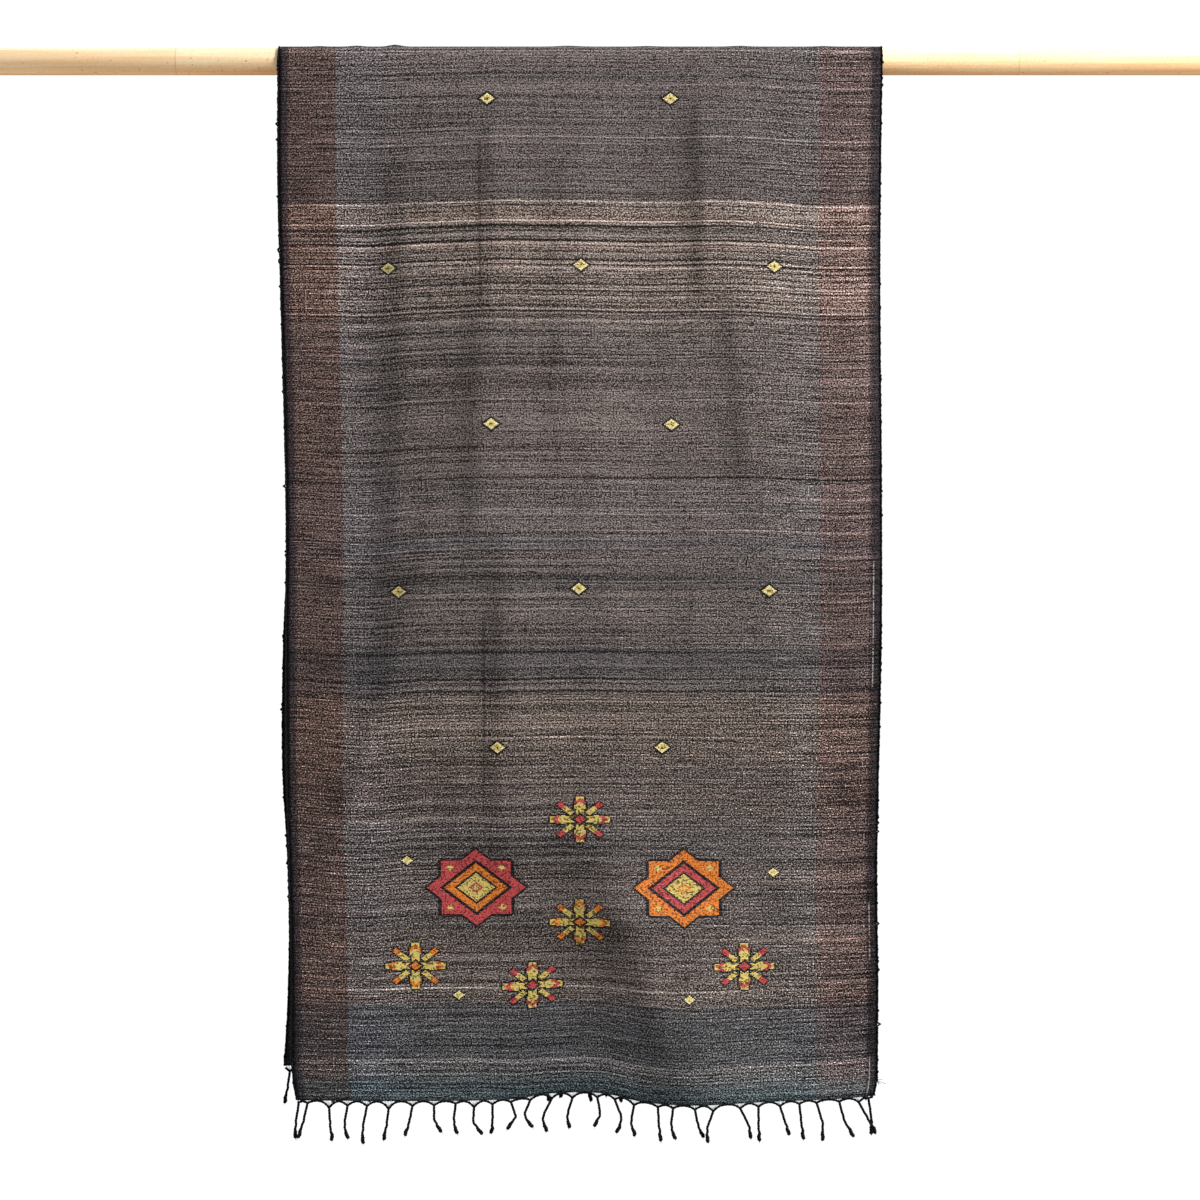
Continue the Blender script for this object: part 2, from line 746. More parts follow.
# Streaks of the weave: length across and along in mm, layer, detail, roughness
STREAKS = {
    "wander": (110.0, 50.0, 4.0, 1.0, 0.5),
    "shots": (420.0, 1.5, 1.0, 1.0, 0.3),
    "short_shots": (30.0, 1.4, 2.0, 1.0, 0.3),
    "grains": (1.4, 1.15, 3.0, 0.0, 0.5),
    "ends": (1.3, 45.0, 5.0, 1.0, 0.5),
    "broad": (500.0, 8.0, 6.0, 1.0, 0.5),
    "slubs": (6.5, 1.3, 8.0, 0.0, 0.5),
}
WANDER = 1.8  # how far a shot strays from its line, in mm

# Strength of a streak in tone: added near the selvages, added low down, in the plain field
SHOTS_TONE = (4.4, 3.2, 5.8)
SHORT_SHOTS_TONE = (4.0, 2.5, 2.6)
GRAINS_TONE = (6.0, 6.5, 11.5)
ENDS_TONE = 1.6

EDGE_REACH = (70.0, 250.0)  # from the middle of the cloth
LOWER_REACH = (540.0, 640.0)  # drops
PALE_SLUBS = (0.66, 0.78, 1.4)  # noise from, to, tone added
DARK_SLUBS = (0.36, 0.24, -2.0)
DARK_SLOPE = 1.45  # contrast of the dark yarns
PALE_SLOPE = 0.34  # contrast of the pale yarns
PALE_LIFT = 0.5
EDGE_SHADE = 0.14
LOWER_SHADE = 0.26
SHARE_REACH = 1.8  # tones at which a yarn counts as wholly dark or pale
COOL_TINT = (0.98, 1.01, 1.02, 1.0)
WARM_TINT = (1.02, 0.99, 0.98, 1.0)
TINT_REACH = 0.16
CLOTH_LIGHTNESS = 1.22
YARN_PITCH = 0.9
YARN_SHIFT = 1.2
YARN_RELIEF = 0.00022


def over_slits(silk, across, drop, slubs):
    """The missing warp end: a thin line beside the selvage, whole only where the weft is thin."""
    line = silk.within(abs(across - OPEN_REED_AT), OPEN_REED_EDGE, OPEN_REED_CORE)
    spans = total(silk.stretch(drop, top, bottom, OPEN_REED_FADE) for top, bottom in OPEN_REED)
    return line * spans * silk.within(slubs, 0.38, 0.5)


def slub_shade(silk, across, drop):
    """Dark lens-shaped patches of thick weft."""

    def patch(place, at, half_long, half_high, shade):
        far = abs(across - place) / half_long + abs(drop - at) / half_high
        return silk.within(far, *PATCH_REACH) * shade

    return total(patch(*row) for row in SLUB_PATCHES)


def press_shade(silk, across, drop):
    """Thin dark lines along the warp where the scarf has lain folded, fading out at both ends."""

    def line(place, top, foot, strength):
        reach = silk.stretch(drop, top, foot, PRESS_FADE)
        return silk.within(abs(across - place), PRESS_EDGE, PRESS_CORE) * reach * strength

    return total(line(*row) for row in PRESS_LINES)


def line_tones(silk, drop):
    """The single shots that stand out, each a bump of tone across its own width."""

    def line(place, half_width, added):
        return silk.within(abs(drop - place), half_width, 0.0) * (added * LINE_TONE)

    return total(line(*row) for row in WEFT_LINES)


def woven_silk():
    """Plain weave of heathered silk: warp stripes across, weft bands and slubs along, and the relief of
    single yarns. The weave map counts across and along the cloth. Tones are powers of two."""
    silk = Shader("woven_silk")
    across, along, _ = silk.parts(silk.node("UVMap", {"uv_map": "weave"}))
    across = across * 1000.0  # back to mm
    along = along * 1000.0
    half = FRONT_DROP + OVER_ROD / 2
    from_back = (CLOTH_LENGTH - along) * (half / (CLOTH_LENGTH - half))
    drop = FRONT_DROP - silk.math("MINIMUM", along, from_back)

    def streaks(name, at):
        wide, high, layer, detail, roughness = STREAKS[name]
        place = silk.vector(across / wide, at / high, layer)
        return silk.noise(place, detail=detail, roughness=roughness)

    wander = streaks("wander", along) - 0.5
    shot_at = along + wander * WANDER
    shot_drop = drop - wander * WANDER

    stripes = [(place / CLOTH_WIDTH, yarn) for place, yarn in WARP_STRIPES]
    warp = silk.node("ValToRGB", {"stops": stripes}, {0: across / CLOTH_WIDTH})

    def weft_ramp(bands):
        low, high = bands[0][0], bands[-1][0]
        stops = [((d - low) / (high - low), (r / 2, g / 2, b / 2)) for d, r, g, b in bands]
        return silk.node("ValToRGB", {"stops": stops}, {0: (shot_drop - low) / (high - low)})

    bands = silk.mix(weft_ramp(UPPER_WEFT), weft_ramp(LOWER_WEFT), drop > WEFT_SPLIT)

    shots = streaks("shots", shot_at) - 0.5
    short_shots = streaks("short_shots", shot_at)
    grains = streaks("grains", along) - 0.5
    ends = streaks("ends", along) - 0.5
    broad = streaks("broad", shot_at) - 0.5
    slubs = streaks("slubs", shot_at)

    edge = silk.within(abs(across - CLOTH_WIDTH / 2), *EDGE_REACH)
    lower = silk.within(drop, *LOWER_REACH)

    def strength(at_edge, low_down, plain):
        return edge * at_edge + lower * low_down + plain

    tone = shots * strength(*SHOTS_TONE) + (short_shots - 0.5) * strength(*SHORT_SHOTS_TONE)
    tone = tone + grains * strength(*GRAINS_TONE) + ends * ENDS_TONE + broad
    yarns = silk.math("MINIMUM", tone * DARK_SLOPE, tone * PALE_SLOPE + PALE_LIFT)
    tone = tone + line_tones(silk, shot_drop) * (short_shots + 0.5)
    for low, high, added in (PALE_SLUBS, DARK_SLUBS):
        tone = tone + silk.within(slubs, low, high) * added
    tone = tone - slub_shade(silk, across, shot_drop) * (0.4 + short_shots)
    single = silk.within(drop, UNDER_BACK_HEM, UNDER_BACK_HEM + THROUGH_FADE)
    tone = tone + single * silk.within(across, *THROUGH_ACROSS) * THROUGH_LIGHT
    pale_yarns = tone * PALE_SLOPE + PALE_LIFT - edge * EDGE_SHADE
    tone = silk.math("MINIMUM", tone * DARK_SLOPE, pale_yarns)
    tone = tone - lower * LOWER_SHADE - press_shade(silk, across, drop)

    share = silk.within(tone, -SHARE_REACH, SHARE_REACH)
    dark = 1.0 - share
    hue = silk.within(broad + shots * 0.3, -TINT_REACH, TINT_REACH)
    tint = silk.mix(COOL_TINT, WARM_TINT, hue)
    colour = silk.mix(silk.mix(warp, bands, 1.0, "MULTIPLY"), tint, 1.0, "MULTIPLY")
    colour = silk.node("HueSaturation", None, {"Saturation": dark * dark * 0.9 + 0.85, "Color": colour})
    colour = silk.scaled(colour, silk.math("POWER", 2.0, tone) * CLOTH_LIGHTNESS)
    colour = silk.mix(colour, rgba(SLIT_LIGHT), over_slits(silk, across, drop, short_shots))

    warp_wave = silk.math("SINE", (across + grains * YARN_SHIFT) * (math.pi / YARN_PITCH))
    weft_wave = silk.math("SINE", (along + grains * YARN_SHIFT) * (math.pi / YARN_PITCH))
    relief = abs(warp_wave * weft_wave) * 0.6 + yarns * 0.16
    return silk.finish(
        colour,
        0.66 - share * 0.12,
        relief,
        YARN_RELIEF,
        Specular_IOR_Level=0.12,
        Sheen_Weight=0.015,
        Sheen_Roughness=0.5,
    )


def twisted_yarn(name, colour, light):
    """Dull dark silk yarn with fine fibres: a base dye lightened by a fine noise."""
    yarn = Shader(name)
    place = yarn.node("TexCoord", out=3)
    fibre = yarn.noise(place, scale=1400.0, detail=2.0)
    shade = yarn.mix(rgba(colour), rgba(light), yarn.within(fibre, 0.42, 0.72))
    return yarn.finish(shade, 0.8, fibre, 0.0001, Specular_IOR_Level=0.08)


def inlay_silk(name, colour, deep):
    """Inlaid silk: a bright dye, mottled, with small dark gaps where the warp crosses its floats."""
    silk = Shader(name)
    place = silk.parts(silk.node("TexCoord", out=3))
    floats = silk.stretched(place, (260.0, 260.0, 900.0))
    gaps = silk.stretched(place, (560.0, 200.0, 640.0), detail=0.0)
    share = silk.within(floats * 0.25 + gaps * 0.75, 0.38, 0.5)
    shade = silk.mix(rgba(deep), rgba(colour), share)
    return silk.finish(shade, 0.6, floats, 0.0002, Specular_IOR_Level=0.15, Sheen_Weight=0.02)


WOOD_TONES = [
    (0.0, dye("f8e8cc")),
    (0.35, dye("f3d5a8")),
    (0.7, dye("eab780")),
    (1.0, dye("de9c5c")),
]
JOINT_LINE = dye("b98a58")
JOINED_LENGTH = dye("e8bd8c")
WOOD_SPECK = dye("7c5a3a")
ROD_JOINTS = [(-375.0, 1.0), (407.0, -1.0)]  # place along the rod, side towards the scarf


def pale_wood():
    """Sanded softwood: pale and tan grain drawn out along the rod, tanner below, a tone for each glued
    length, fine dark lines at the glued joints, and small dark specks."""
    wood = Shader("pale_wood")
    x, y, z = place = wood.parts(wood.node("TexCoord", out=3))
    grain = wood.stretched(place, (6.0, 230.0, 230.0), detail=4.0, roughness=0.62) - 0.5
    pores = wood.stretched(place, (60.0, 1500.0, 1500.0)) - 0.5
    rings = wood.noise(wood.vector(x * 1.3, y * 60.0, z * 60.0 + 3.0), detail=2.0) - 0.5
    flecks = wood.stretched(place, (420.0, 900.0, 900.0)) - 0.5
    height = z / (ROD_RADIUS * MM)
    share = 0.44 - height * 0.30 + grain * 1.1 + rings + flecks * 0.5
    colour = wood.node("ValToRGB", {"stops": WOOD_TONES}, {0: share})
    for joint, inwards in ROD_JOINTS:
        along = x * 1000.0 - joint
        line = wood.within(abs(along + grain * 2.0), 0.8, 0.2)
        colour = wood.mix(colour, rgba(JOINT_LINE), line * 0.5)
        beyond = wood.within(along * inwards, 0.4, -0.4)
        colour = wood.mix(colour, rgba(JOINED_LENGTH), beyond * 0.30)
    specks = wood.within(wood.stretched(place, (260.0, 420.0, 420.0), detail=2.0), 0.68, 0.74)
    colour = wood.mix(colour, rgba(WOOD_SPECK), specks * 0.7)
    return wood.finish(colour, 0.5 + pores * 0.2, grain + pores, 0.00012, Specular_IOR_Level=0.35)


silk_cloth = woven_silk()
black_yarn = twisted_yarn("black_yarn", dye("050506"), dye("0f0f12"))
teal_yarn = twisted_yarn("teal_yarn", dye("23424c"), dye("6f98a2"))
pale_gold_silk = inlay_silk("pale_gold_silk", dye("ecdfa2"), dye("b39a5c"))
gold_silk = inlay_silk("gold_silk", dye("d2bb66"), dye("5e5128"))
red_silk = inlay_silk("red_silk", dye("bd4545"), dye("5a2228"))
orange_silk = inlay_silk("orange_silk", dye("db7a26"), dye("6b3a16"))
navy_silk = inlay_silk("navy_silk", dye("06060b"), dye("020204"))
rod_wood = pale_wood()


# ---------------------------------------------------------------- cloth

CLOTH_COLUMNS = 130
FRONT_ROWS = 180
OVER_ROWS = 16
BACK_ROWS = 130


def build_cloth():
    """The whole woven length as one grid: columns across, rows from the front hem over the rod to the
    back hem, given the silk's thickness."""
    across = np.linspace(0, 1, CLOTH_COLUMNS + 1)
    along = np.concatenate([
        np.linspace(-1, 0, FRONT_ROWS, endpoint=False),
        np.linspace(0, 1, OVER_ROWS, endpoint=False),
        np.linspace(1, 2, BACK_ROWS + 1),
    ])
    grid_across, grid_along = np.meshgrid(across, along)
    place = cloth_point(grid_across, grid_along)
    points = place.reshape(-1, 3)
    faces = grid_faces(len(along), len(across))
    cloth = make_mesh("silk_cloth", points, [faces], [silk_cloth])
    drop = -place[..., 2]
    turned = np.clip(grid_along, 0, 1)
    front = FRONT_DROP - drop + weft_dip(FRONT, place[..., 0], drop)
    dip_at_rod = weft_dip(FRONT, place[..., 0], np.zeros_like(drop))
    over = FRONT_DROP + turned * OVER_ROD + dip_at_rod * (1 - 2 * turned)
    behind = FRONT_DROP + OVER_ROD + drop - weft_dip(BACK, place[..., 0], drop)
    length = np.where(grid_along < 0, front, np.where(grid_along > 1, behind, over))
    weave = np.stack([grid_across * CLOTH_WIDTH, length], axis=-1) * MM
    layer = cloth.data.uv_layers.new(name="weave")
    corners = np.empty(len(cloth.data.loops), np.int32)
    cloth.data.loops.foreach_get("vertex_index", corners)
    layer.data.foreach_set("uv", weave.reshape(-1, 2)[corners].astype(np.float32).ravel())
    shell = cloth.modifiers.new("thickness", "SOLIDIFY")
    shell.thickness = SHELL * MM
    shell.offset = 0.0
    return cloth


# ---------------------------------------------------------------- inlaid motifs

STITCH_WIDE = 1.5
STITCH_HIGH = 1.15
FLOAT_OUT = 0.55  # how far a float stands out of the cloth's middle
FLOAT_IN = 0.1

FLOAT_FLANK = 0.8  # height of a float's shoulders, as a share of its middle's
FLOAT_SHOULDERS = (0.18, 0.82)  # where its shoulders are, as shares of its width
SLOPE_STEP = 0.001  # share of the cloth over which its slope is taken

EMPTY, NAVY, GOLD, RED, ORANGE, PALE_GOLD = range(6)
INLAY_YARNS = [navy_silk, gold_silk, red_silk, orange_silk, pale_gold_silk]


def chart_grid(half):
    """Stitch places of a square chart: how far each is from its middle, across and along."""
    return np.meshgrid(np.abs(np.arange(-half, half + 1)), np.abs(np.arange(-half, half + 1)))


def outlined(chart, width):
    """A navy outline, width stitches wide, around what a chart fills."""
    padded = np.pad(chart, width)
    near = padded > 0
    for _ in range(width):
        beside = [np.roll(near, step, axis) for axis in (0, 1) for step in (-1, 1)]
        near = near | np.any(beside, axis=0)
    return np.where(padded > 0, padded, np.where(near, NAVY, EMPTY))


def ring(distance, outer, inner):
    """Stitches whose distance is at most outer and more than inner."""
    return (distance <= outer) & (distance > inner)


def diamond_chart(size):
    """A gold diamond with a pale rim, in a dark ring; a large one has a dark eye and a wider ring."""
    i, j = chart_grid(size)
    large = size > SMALL_DIAMOND
    chart = np.where(i + j <= size, PALE_GOLD, EMPTY)
    chart = np.where(i + j <= size - 2, GOLD, chart)
    return outlined(np.where((i + j == 0) & large, NAVY, chart), 2 if large else 1)


def star_chart(main, accent):
    """An eight-pointed star: a square and a lozenge crossed, with two dark rings inside, an accent
    lozenge, a gold heart and four gold eyes."""
    i, j = chart_grid(STAR_LOZENGE + 3)
    lozenge = i + j
    star = (np.maximum(i, j) <= STAR_SQUARE) | (lozenge <= STAR_LOZENGE)
    chart = np.where(star, main, EMPTY)
    bands = ((22, 19, NAVY), (19, 13, accent), (13, 11, NAVY), (11, -1, GOLD), (4, 2, main))
    for outer, inner, yarn in bands:
        chart = np.where(ring(lozenge, outer, inner), yarn, chart)
    eyes = (np.abs(i - STAR_EYE) + np.abs(j - STAR_EYE)) <= 2
    return outlined(np.where(eyes, GOLD, chart), 2)


def rosette_chart(accent):
    """Eight gold petals around a small heart: four straight and four slanting, with accent tips."""
    i, j = chart_grid(ROSETTE_REACH)
    lozenge = i + j
    longer, shorter = np.maximum(i, j), np.minimum(i, j)
    straight = (shorter <= 2 + ring(longer, 14, 8)) & (lozenge > 5) & (longer < ROSETTE_REACH)
    slant = (np.abs(i - j) <= 2) & ring(lozenge, 26, 9)
    chart = np.where(straight | slant, GOLD, EMPTY)
    chart = np.where(slant & (lozenge > 19), accent, chart)
    chart = np.where(ring(lozenge, 17, 14) & (shorter <= 3), accent, chart)
    return outlined(np.where(lozenge <= 3, accent, chart), 1)


# Sizes of the figures in stitches
SMALL_DIAMOND = 3
STAR_SQUARE = 21
STAR_LOZENGE = 30
STAR_EYE = 16
ROSETTE_REACH = 19

# Field diamonds: x in mm from the middle, drop in mm, half size in stitches
FIELD_DIAMONDS = [
    (-86, 36.6, 4),
    (83.5, 36.6, 4),
    (-177, 193.5, 4),
    (1, 192, 4),
    (179.5, 192, 4),
    (-81.5, 338.5, 4),
    (84.5, 338.5, 4),
    (-167, 492.5, 4),
    (-1, 490, 4),
    (175, 491.5, 4),
    (-76, 636.5, 4),
    (76, 636.5, 4),
    (-160, 741, 3),
    (179, 752, 3),
    (-112, 865, 3),
    (101, 867, 3),
]

# Hem panel: chart, x, drop. A symmetric panel: two stars, five rosettes.
HEM_PANEL = [
    ("red_star", -96, 766),
    ("orange_star", 96, 766),
    ("red_rosette", 0, 704),
    ("orange_rosette", 0, 800),
    ("orange_rosette", -152, 838),
    ("red_rosette", 152, 838),
    ("red_rosette", -44, 858),
]


def inlay_cells(chart, x, drop, fall):
    """Across and down shares of the four corners of every filled stitch of a chart, and its yarn."""
    row, column = np.nonzero(chart)
    yarn = chart[row, column]
    left = smooth_table(fall["edges"], 1, drop)
    right = smooth_table(fall["edges"], 2, drop)
    west = x + (column - chart.shape[1] / 2) * STITCH_WIDE
    north = drop + (row - chart.shape[0] / 2) * STITCH_HIGH
    return west - left, north, np.full(len(row), right - left), yarn


def float_prisms(fall, west, north, width, yarn):
    """Each stitch as a flat-topped thread: a trapezoid across the float, carried over one stitch, and
    laid on the cloth along its normal. Returns points, faces and the yarn of each face."""
    near, far = FLOAT_SHOULDERS
    flank = FLOAT_OUT * FLOAT_FLANK
    profile = np.array([(0.0, FLOAT_IN), (near, flank), (0.5, FLOAT_OUT), (far, flank), (1.0, FLOAT_IN)])
    ends = np.array([0.0, 1.0])
    u = (west[:, None, None] + ends[None, :, None] * STITCH_WIDE) / width[:, None, None]
    d = (north[:, None, None] + profile[None, None, :, 0] * STITCH_HIGH) / fall["drop"]
    u, d = np.broadcast_arrays(u, d)
    place = fall_point(fall, u, d)
    du = fall_point(fall, u + SLOPE_STEP, d) - fall_point(fall, u - SLOPE_STEP, d)
    dd = fall_point(fall, u, d - SLOPE_STEP) - fall_point(fall, u, d + SLOPE_STEP)
    normal = np.cross(du, dd)
    normal *= np.sign(normal[..., 1:2]) * fall["side"]
    normal /= np.linalg.norm(normal, axis=-1, keepdims=True)
    points = (place + normal * profile[None, None, :, 1:2]).reshape(-1, 3)
    rungs = len(profile)
    base = 2 * rungs * np.arange(len(west))[:, None]
    rung = base + np.arange(rungs - 1)[None, :]
    quads = np.stack([rung, rung + 1, rung + rungs + 1, rung + rungs], axis=-1)
    under = base + np.array([[rungs - 1, 0, rungs, 2 * rungs - 1]])
    caps_west = base + np.arange(rungs)[None, ::-1]
    caps_east = base + rungs + np.arange(rungs)[None, :]
    faces = [quads.reshape(-1, 4), under, caps_west, caps_east]
    if fall["side"] > 0:
        faces = [block[:, ::-1] for block in faces]
    slots = np.concatenate([np.repeat(yarn, rungs - 1), yarn, yarn, yarn]) - 1
    return points, faces, slots


def build_motifs(name, fall, shift):
    """All inlaid figures of one fall in one mesh; shift moves the field's rows down by that many mm."""
    charts = {
        "red_star": star_chart(RED, ORANGE),
        "orange_star": star_chart(ORANGE, RED),
        "red_rosette": rosette_chart(RED),
        "orange_rosette": rosette_chart(ORANGE),
    }
    placed = [(diamond_chart(size), x, drop + shift) for x, drop, size in FIELD_DIAMONDS]
    placed += [(charts[key], x, drop + shift) for key, x, drop in HEM_PANEL]
    cells = [inlay_cells(chart, x, drop, fall) for chart, x, drop in placed]
    west, north, width, yarn = (np.concatenate(part) for part in zip(*cells))
    points, faces, slots = float_prisms(fall, west, north, width, yarn)
    return make_mesh(name, points, faces, INLAY_YARNS, False, slots)


# ---------------------------------------------------------------- fringes

CORD_RADIUS = 1.28
TAIL_RADIUS = 1.95
TAIL_FROM = (0.68, 0.86)  # shares of a strand over which it thickens into its tail
TIP_FROM = 0.965  # share of a strand from which it is rounded off
CORD_RINGS = 64
CORD_SIDES = 10
CORD_GROOVE = 0.2
TWIST = 1.25  # radians a millimetre
KINK_AT = 0.56  # share of a strand at which it bends
KINK_SOFTNESS = 0.045
SCALLOP_RADIUS = 1.15
SCALLOP_SIDES = 8
SCALLOP_GROOVE = 0.25
SCALLOP_TWIST = 0.9
SCALLOP_STEPS = 900
SCALLOP_REACH = 4.2  # how far to each side of a neck the heading cord dips
SCALLOP_SHARPNESS = 1.25
SCALLOP_INSET = 0.6
KNOT_RADIUS = 1.25
KNOT_GRID = (9, 12)
KNOT_FLATNESS = 0.85
KNOT_WRAPS = 0.16
WHOLE_TURN = 6.28
WARP_ENDS = 13  # loose ends gathered into a strand
WARP_END_RINGS = 6
WARP_END_RADIUS = 0.16
FUNNEL_HALF = 9.0  # half the width over which a strand's ends leave the hem
HEM_BITE = 0.4  # how far up into the cloth they start
HAIRS = 5  # hairs at a cut tip
HAIR_RADIUS = 0.09


def hem_point(fall, x, below):
    """Point of a fall at x mm across, on the mean hem line or below mm under it."""
    _, left, right = fall["edges"][-1]
    across = (x - left) / (right - left)
    return fall_point(fall, across, np.ones_like(across), below)


def strand_paths(fall, strands):
    """Paths of the strands from neck to tip in mm: straight to the bend and straight on to the tip, the
    kink rounded by a softened ramp, with a slight waver."""
    root, bend, tip, hang, behind, neck = (strands[:, k : k + 1] for k in range(6))
    start = hem_point(fall, root, neck)
    t = np.linspace(0, 1, CORD_RINGS)[None, :]
    after = KINK_SOFTNESS * np.logaddexp(0, (t - KINK_AT) / KINK_SOFTNESS)
    slope_above = (bend - root) / KINK_AT
    slope_below = (tip - bend) / (1 - KINK_AT)
    x = root + slope_above * (t - after) + slope_below * after
    waver = 0.35 * np.sin(t * 17 + root) + 0.3 * np.sin(t * 31 + 2 * root)
    end_z = -(fall["drop"] + hang)
    z = start[:, :, 2] * (1 - t) + end_z * t
    y = start[:, :, 1] + behind * t + 0.4 * np.sin(t * 7 + bend) * t
    return np.stack([x + waver * t, y, z], axis=-1), start[:, 0]


def strand_radii(count):
    """Thin below the neck, thick at the tail, rounded off at the tip."""
    t = np.linspace(0, 1, CORD_RINGS)
    tail = smoothstep(t, *TAIL_FROM)
    radius = CORD_RADIUS + (TAIL_RADIUS - CORD_RADIUS) * tail
    radius = radius * (1 - 0.75 * smoothstep(t, TIP_FROM, 1.0))
    return np.tile(radius, (count, 1))


def scallop_path(fall, strands):
    """The black heading cord: it follows the hem and dips to each strand's neck."""
    _, left, right = fall["edges"][-1]
    x = np.linspace(left + SCALLOP_INSET, right - SCALLOP_INSET, SCALLOP_STEPS)
    gap = np.abs(x[:, None] - strands[None, :, 0])
    dip = strands[None, :, 5] * np.exp(-((gap / SCALLOP_REACH) ** SCALLOP_SHARPNESS))
    return hem_point(fall, x, dip.max(axis=1))[None]


def warp_end_paths(fall, strands, necks):
    """Loose warp ends from the hem to each neck, straight with a slight inward curve."""
    rng = np.random.default_rng(7)
    _, left, right = fall["edges"][-1]
    spread = np.linspace(-1, 1, WARP_ENDS)[None, :] * FUNNEL_HALF
    jitter = rng.uniform(-0.5, 0.5, (len(strands), WARP_ENDS))
    x = np.clip(strands[:, :1] + spread + jitter, left + 0.5, right - 0.5)
    start = hem_point(fall, x, -HEM_BITE)
    end = necks[:, None, :] + np.zeros_like(start)
    t = np.linspace(0, 1, WARP_END_RINGS)[None, None, :, None]
    path = start[:, :, None] * (1 - t) + end[:, :, None] * t
    path[..., 2] += (1.4 * t * (1 - t))[..., 0]
    return path.reshape(-1, WARP_END_RINGS, 3)


def knots(centres, radius, seed):
    """Small lumpy knots: a sphere flattened along the cord, its skin waved by the wraps."""
    rings, sides = KNOT_GRID
    theta = np.linspace(0, math.pi, rings)[None, :, None]
    phi = (2 * math.pi * np.arange(sides) / sides)[None, None, :]
    turn = np.random.default_rng(seed).uniform(0, WHOLE_TURN, (len(centres), 1, 1))
    bump = 1 + KNOT_WRAPS * np.sin(2 * phi + 3 * theta + turn)
    size = radius * bump * np.sin(theta)
    height = KNOT_FLATNESS * radius * np.cos(theta)
    offset = np.stack(np.broadcast_arrays(size * np.cos(phi), size * np.sin(phi), height), axis=-1)
    points = (centres[:, None, None, :] + offset).reshape(-1, 3)
    starts = rings * sides * np.arange(len(centres))[:, None, None]
    return points, [(turned_over(ring_quads(rings, sides))[None] + starts).reshape(-1, 4)]


def frays(tips, seed):
    """Fine hairs that hang from the cut tips."""
    rng = np.random.default_rng(seed)
    spread = rng.normal(0, 0.5, (len(tips), HAIRS, 3))
    spread[..., 2] = -rng.uniform(0.8, 2.2, (len(tips), HAIRS))
    t = np.linspace(0, 1, 4)[None, None, :, None]
    start = tips[:, None, None, :] + rng.normal(0, 0.35, (len(tips), HAIRS, 1, 3))
    return (start + spread[:, :, None, :] * t).reshape(-1, 4, 3)


def build_fringe(name, fall, strands, seed):
    """Strands, their knots and tails, the scalloped heading cord and the gathered warp ends."""
    paths, necks = strand_paths(fall, strands)
    cords = tubes(paths, strand_radii(len(strands)), CORD_SIDES, CORD_GROOVE, TWIST)
    heading = scallop_path(fall, strands)
    thickness = np.full(heading.shape[:2], SCALLOP_RADIUS)
    scallop = tubes(heading, thickness, SCALLOP_SIDES, SCALLOP_GROOVE, SCALLOP_TWIST)
    neck_knots = knots(necks, KNOT_RADIUS, seed)
    tip_hairs = frays(paths[:, -2], seed + 1)
    hairs = tubes(tip_hairs, np.full(tip_hairs.shape[:2], HAIR_RADIUS), 3)
    ends = warp_end_paths(fall, strands, necks)
    threads = tubes(ends, np.full(ends.shape[:2], WARP_END_RADIUS), 4)
    dark = joined([cords, scallop, neck_knots, hairs])
    everything = joined([dark, threads])
    dark_faces = sum(len(block) for block in dark[1])
    all_faces = sum(len(block) for block in everything[1])
    slots = np.zeros(all_faces, int)
    slots[dark_faces:] = 1
    return make_mesh(name, *everything, [black_yarn, teal_yarn], True, slots)


# ---------------------------------------------------------------- selvages

SELVAGE_PITCH = 1.6
SELVAGE_RADIUS = 0.85
LOOSE_THREADS = 9
LOOSE_RADIUS = 0.22
LOOSE_AT = -0.985  # where along the cloth they leave the selvage
LOOSE_SPREAD = (2.5, 0.8, 2.8)
LOOSE_LEAN = (4.0, 0.0, -1.0)


def build_selvages():
    """The weft's turns at both edges: a thick black edge yarn that runs from hem to hem over the rod.
    Its thickness and its reach outwards jump a little from one turn to the next. A few threads have
    come loose at the right hem corner."""
    rng = np.random.default_rng(31)
    count = int(CLOTH_LENGTH / SELVAGE_PITCH)
    share = np.linspace(0, 1, count) * CLOTH_LENGTH
    along = np.where(share < FRONT_DROP, share / FRONT_DROP - 1, (share - FRONT_DROP) / OVER_ROD)
    behind = 1 + (share - FRONT_DROP - OVER_ROD) / BACK_DROP
    along = np.where(share > FRONT_DROP + OVER_ROD, behind, along)
    paths, radii = [], []
    for across, outwards in ((0.0, -1), (1.0, 1)):
        path = cloth_point(np.full(count, across), along)
        loops = np.maximum(rng.normal(0, 1, count) - 1.1, 0) * 0.9
        path[:, 0] += outwards * (rng.uniform(-0.15, 0.2, count) + loops)
        paths.append(path)
        radii.append(SELVAGE_RADIUS * rng.uniform(0.75, 1.2, count) + loops * 0.25)
    edges = tubes(np.array(paths), np.array(radii), 6)
    corner = cloth_point(np.ones(LOOSE_THREADS), np.full(LOOSE_THREADS, LOOSE_AT))
    away = rng.normal(0, 1, (LOOSE_THREADS, 3)) * LOOSE_SPREAD + LOOSE_LEAN
    loose = corner[:, None] + away[:, None] * np.linspace(0, 1, 5)[None, :, None]
    threads = tubes(loose, np.full(loose.shape[:2], LOOSE_RADIUS), 3)
    points, faces = joined([edges, threads])
    return make_mesh("selvage_yarns", points, faces, [black_yarn])


# ---------------------------------------------------------------- rod


ROD_SIDES = 96
ROD_EASE = 0.8  # how far the ends' edges are rounded
ROD_EASE_MIDDLE = 0.24


